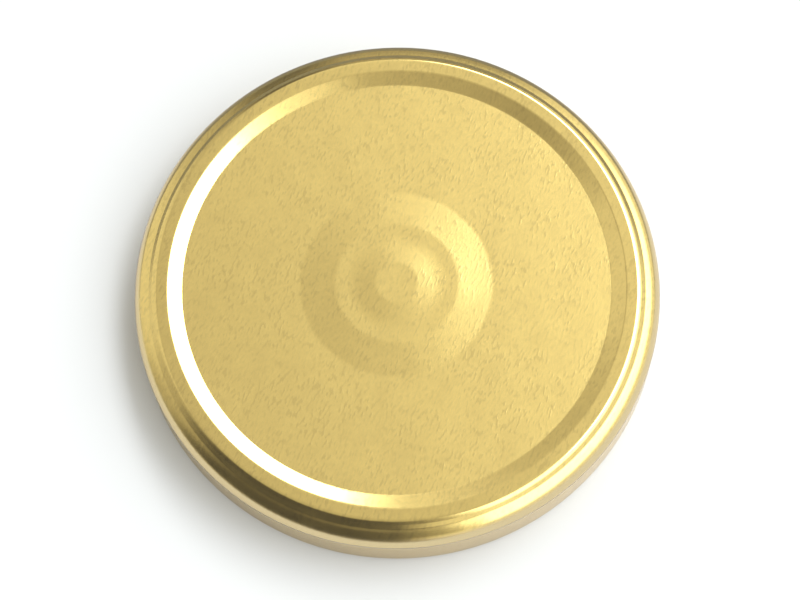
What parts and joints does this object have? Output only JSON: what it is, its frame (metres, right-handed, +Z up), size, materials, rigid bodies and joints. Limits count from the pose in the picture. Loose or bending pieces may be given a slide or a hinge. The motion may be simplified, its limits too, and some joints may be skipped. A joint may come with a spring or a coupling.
{
  "type": "twist off jar lid",
  "caption": "Round pressed tinplate twist off lid with a stepped safety button, a raised ring, a rolled curl with inward lugs and a sealing ring inside.",
  "frame": {"origin": "centre of the circle on which the lid's curl rests", "axes": "+Z up through the middle of the top face; two of the lugs lie on X and two on Y"},
  "size_m": [0.0698, 0.0698, 0.0095],
  "materials": {
    "lacquered_tinplate": "gold lacquer, satin on the top, glossy on the rounds",
    "plastisol": "satin, soft"
  },
  "bodies": {
    "root": {"cap_shell": "lacquered_tinplate", "sealing_ring": "plastisol"}
  },
  "joints": []
}
